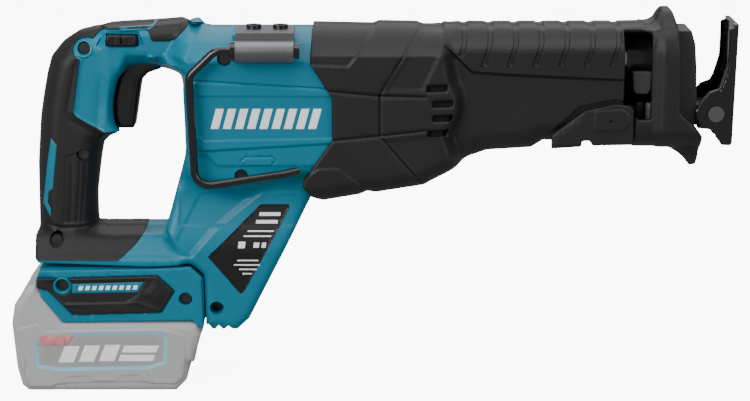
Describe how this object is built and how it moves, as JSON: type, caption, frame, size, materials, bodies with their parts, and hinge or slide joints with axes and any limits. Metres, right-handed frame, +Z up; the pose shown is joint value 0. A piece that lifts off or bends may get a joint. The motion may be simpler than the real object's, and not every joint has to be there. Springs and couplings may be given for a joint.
{
  "type": "reciprocating saw",
  "caption": "Cordless reciprocating saw with a D-shaped rear handle, ribbed front cover, pivoting shoe, folding hook and a slide-on battery pack.",
  "frame": {"origin": "mouth of the blade socket on the spindle axis, spindle fully back", "axes": "+X out along the blade, +Z up, -Y the tool's right side, where the hook is"},
  "size_m": [0.4454, 0.0938, 0.2363],
  "materials": {
    "housing_teal": "satin moulded plastic",
    "soft_grip": "matt moulded elastomer",
    "black_plastic": "fine matt texture",
    "dark_plate": "printed film",
    "cast_alloy": "as cast",
    "steel": "ground",
    "bronze": "sintered bronze",
    "copper": "enamelled wire",
    "black_steel": "gloss black coat",
    "hook_metal": "satin",
    "screw_black": "black oxide",
    "seal": "matt",
    "lens": "clear",
    "battery_grey": "light grey moulded plastic",
    "battery_film": "printed film",
    "cell_sleeve": "shrink sleeve",
    "inner_plastic": "glass-filled plastic"
  },
  "bodies": {
    "frame": {"housing_right": "housing_teal", "housing_left": "housing_teal", "grip_cover_right": "soft_grip", "grip_cover_left": "soft_grip", "housing_screws": "screw_black", "rating_plate": "dark_plate", "foot_cover_right": "housing_teal", "foot_cover_left": "housing_teal", "foot_screws": "screw_black", "bumper_right": "soft_grip", "bumper_left": "soft_grip", "front_cover": "black_plastic", "nose_cap": "inner_plastic", "lamp_lens": "lens", "gear_case": "cast_alloy", "rear_guide": "bronze", "front_bushing": "bronze", "spindle_seal": "seal", "motor_bracket": "cast_alloy", "rotor_bearings": "steel", "crank_bearings": "steel", "stator_core": "steel", "stator_coils": "copper", "hook_bracket": "hook_metal", "hook_screws": "screw_black", "trigger_pin": "steel", "switch_module": "inner_plastic", "controller": "inner_plastic", "terminal_block": "inner_plastic", "contact_blades": "copper"},
    "rotor": {"rotor_shaft": "steel", "rotor_core": "steel", "fan": "inner_plastic", "pinion": "steel"},
    "crank": {"crank_gear": "steel", "crank_roller": "steel"},
    "spindle": {"spindle_rod": "steel", "blade_holder": "steel", "lock_pin": "steel"},
    "sleeve": {"clamp_sleeve": "black_steel"},
    "shoe_slide_bar": {"shoe_bar": "black_steel"},
    "shoe": {"shoe_plate": "black_steel", "shoe_pin": "screw_black"},
    "shoe_lock": {"shoe_lever": "inner_plastic"},
    "trigger": {"trigger": "black_plastic"},
    "lock_off": {"lock_off_button": "black_plastic"},
    "hook": {"hook_wire": "black_steel", "hook_collars": "black_steel"},
    "battery": {"battery_cover": "battery_grey", "battery_base": "battery_grey", "battery_cells": "cell_sleeve", "cell_holders": "inner_plastic", "battery_labels": "battery_film"},
    "latch": {"battery_latch": "battery_grey"}
  },
  "joints": [
    {"name": "rotor_spin", "type": "hinge", "parent": "frame", "child": "rotor", "pos_m": [-0.25, 0, -0.023], "axis": [1, 0, 0], "continuous": true},
    {"name": "crank_spin", "type": "hinge", "parent": "frame", "child": "crank", "pos_m": [-0.149, 0, -0.023], "axis": [0, 1, 0], "continuous": true},
    {"name": "spindle_slide", "type": "slide", "parent": "frame", "child": "spindle", "axis": [1, 0, 0], "range_m": [0, 0.032]},
    {"name": "sleeve_turn", "type": "hinge", "parent": "spindle", "child": "sleeve", "pos_m": [-0.016, 0, 0], "axis": [1, 0, 0], "range_deg": [0, 60]},
    {"name": "shoe_slide", "type": "slide", "parent": "frame", "child": "shoe_slide_bar", "axis": [1, 0, 0], "range_m": [0, 0.03]},
    {"name": "shoe_tilt", "type": "hinge", "parent": "shoe_slide_bar", "child": "shoe", "pos_m": [0.0302, 0, -0.0318], "axis": [0, 1, 0], "range_deg": [-8, 15]},
    {"name": "shoe_lever_turn", "type": "hinge", "parent": "frame", "child": "shoe_lock", "pos_m": [-0.0325, -0.03, -0.0332], "axis": [0, -1, 0], "range_deg": [0, 50]},
    {"name": "trigger_pull", "type": "hinge", "parent": "frame", "child": "trigger", "pos_m": [-0.316, 0, 0.001], "axis": [0, 1, 0], "range_deg": [0, 7], "stiffness_Nm_per_rad": 1, "springref_deg": -2.86},
    {"name": "lock_off_push", "type": "slide", "parent": "frame", "child": "lock_off", "axis": [0, 1, 0], "range_m": [-0.0025, 0.0025]},
    {"name": "hook_fold", "type": "hinge", "parent": "frame", "child": "hook", "pos_m": [-0.245, -0.0455, 0.0113], "axis": [-1, 0, 0], "range_deg": [0, 95]},
    {"name": "battery_slide", "type": "slide", "parent": "frame", "child": "battery", "axis": [-1, 0, 0], "range_m": [0, 0.1]},
    {"name": "latch_press", "type": "slide", "parent": "battery", "child": "latch", "axis": [0, 0, -1], "range_m": [0, 0.004], "stiffness_N_per_m": 800, "springref_m": -0.002}
  ],
  "couplings": [
    {"joint": "rotor_spin", "follows": "crank_spin", "ratio": -5}
  ]
}
